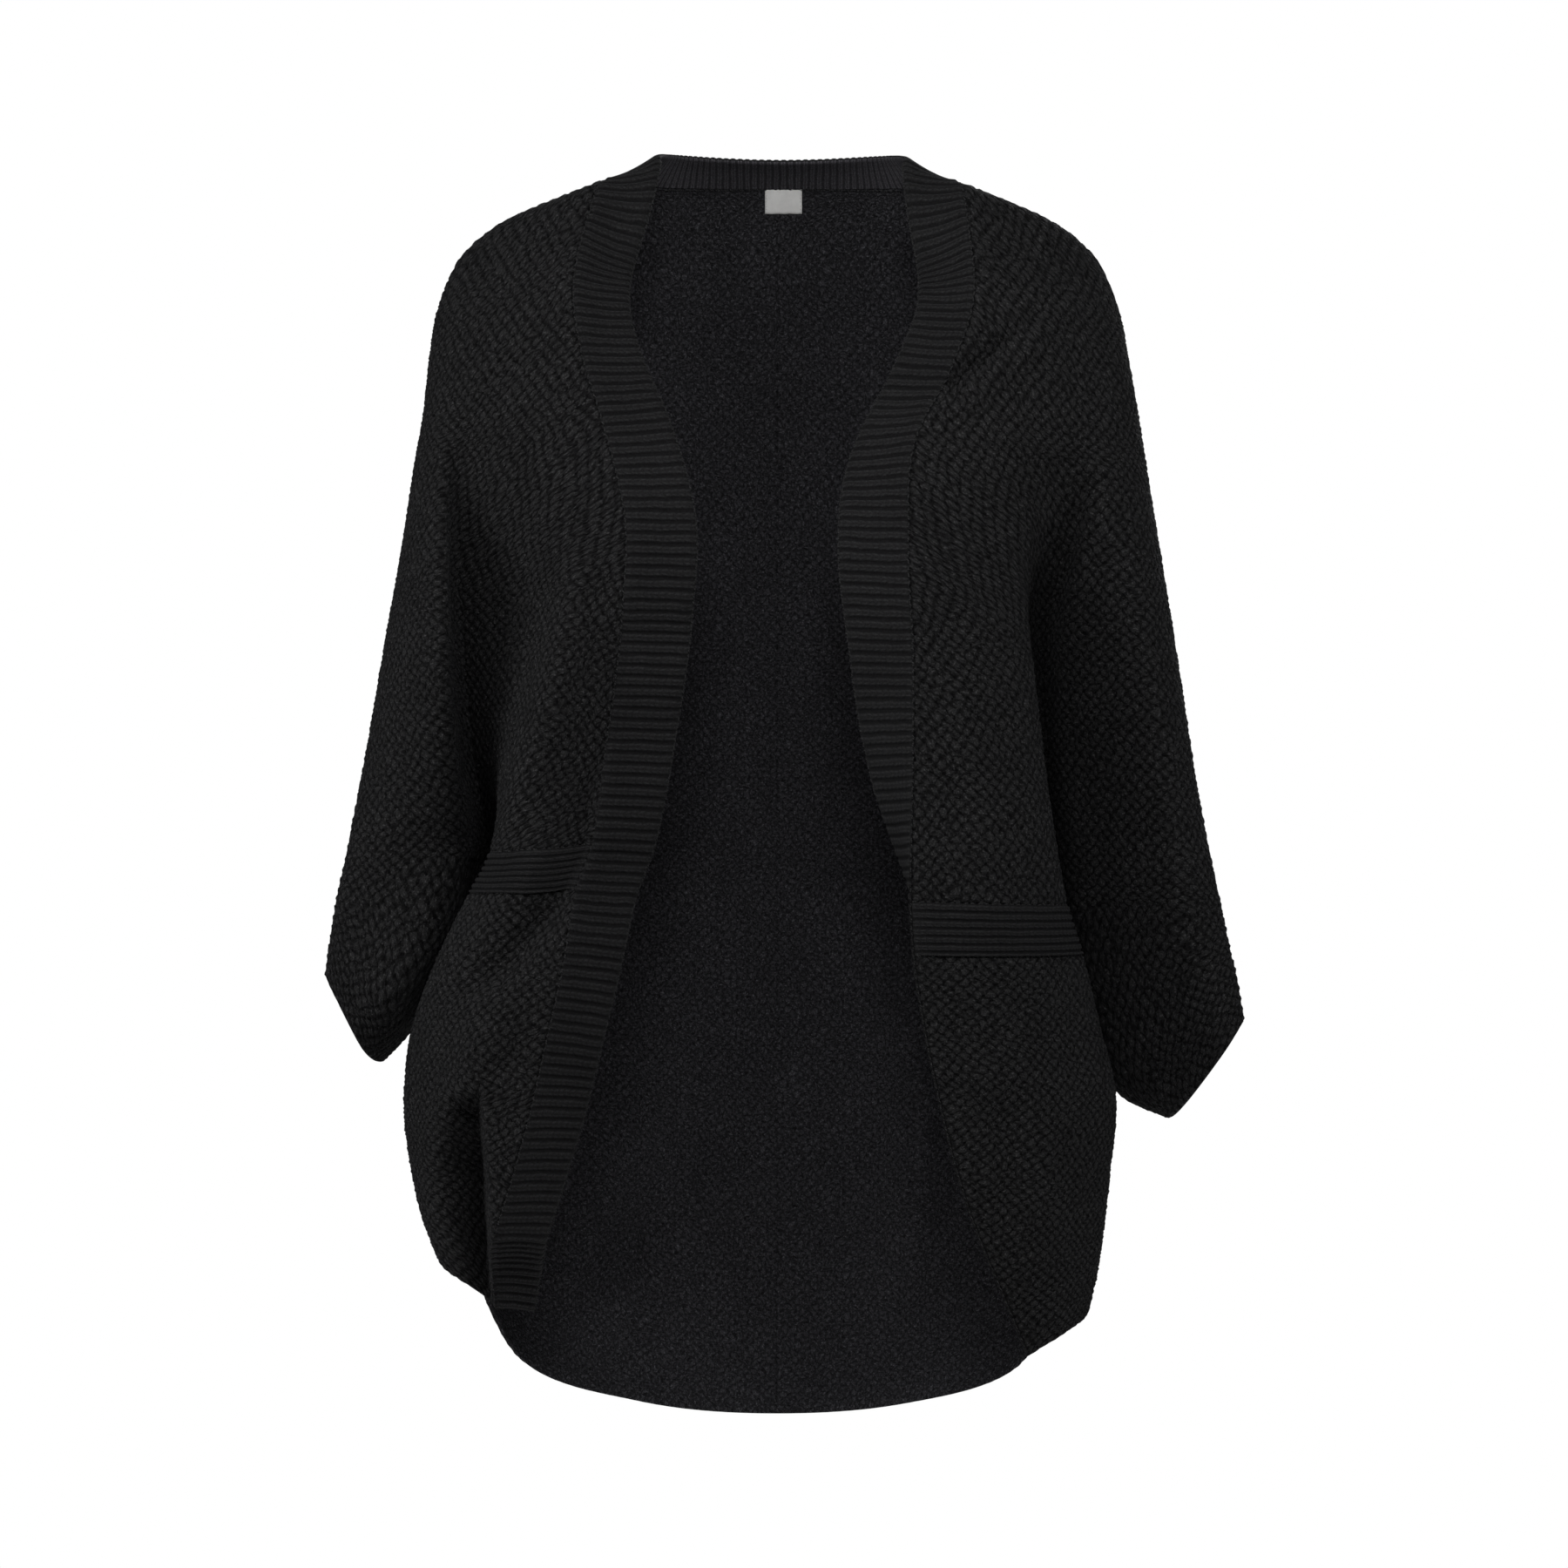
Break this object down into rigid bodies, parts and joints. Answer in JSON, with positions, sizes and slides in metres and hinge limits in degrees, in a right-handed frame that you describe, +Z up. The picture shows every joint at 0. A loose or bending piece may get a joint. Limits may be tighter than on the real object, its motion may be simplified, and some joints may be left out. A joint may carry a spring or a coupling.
{
  "type": "poncho",
  "caption": "Open-front batwing cardigan worn like a poncho, in chunky moss knit with ribbed bands and waist: hollow, in its worn shape, it goes round a wearer's shoulders, arms and back.",
  "frame": {"origin": "base of the neck on the centre line, at the height of the shoulder seam, where the wearer's shoulders hold the garment", "axes": "+X to the wearer's left, +Y to the wearer's back, +Z up"},
  "size_m": [0.5992, 0.2521, 0.8433],
  "materials": {
    "moss_knit": "matte",
    "rib_knit": "matte",
    "label": "satin"
  },
  "bodies": {
    "root": {"back": "moss_knit", "front_right": "moss_knit", "front_left": "moss_knit", "lower_front_right": "moss_knit", "lower_front_left": "moss_knit", "waist_rib_right": "rib_knit", "waist_rib_left": "rib_knit", "front_band_right": "rib_knit", "front_band_left": "rib_knit", "neckband": "rib_knit", "neck_label": "label"}
  },
  "joints": []
}
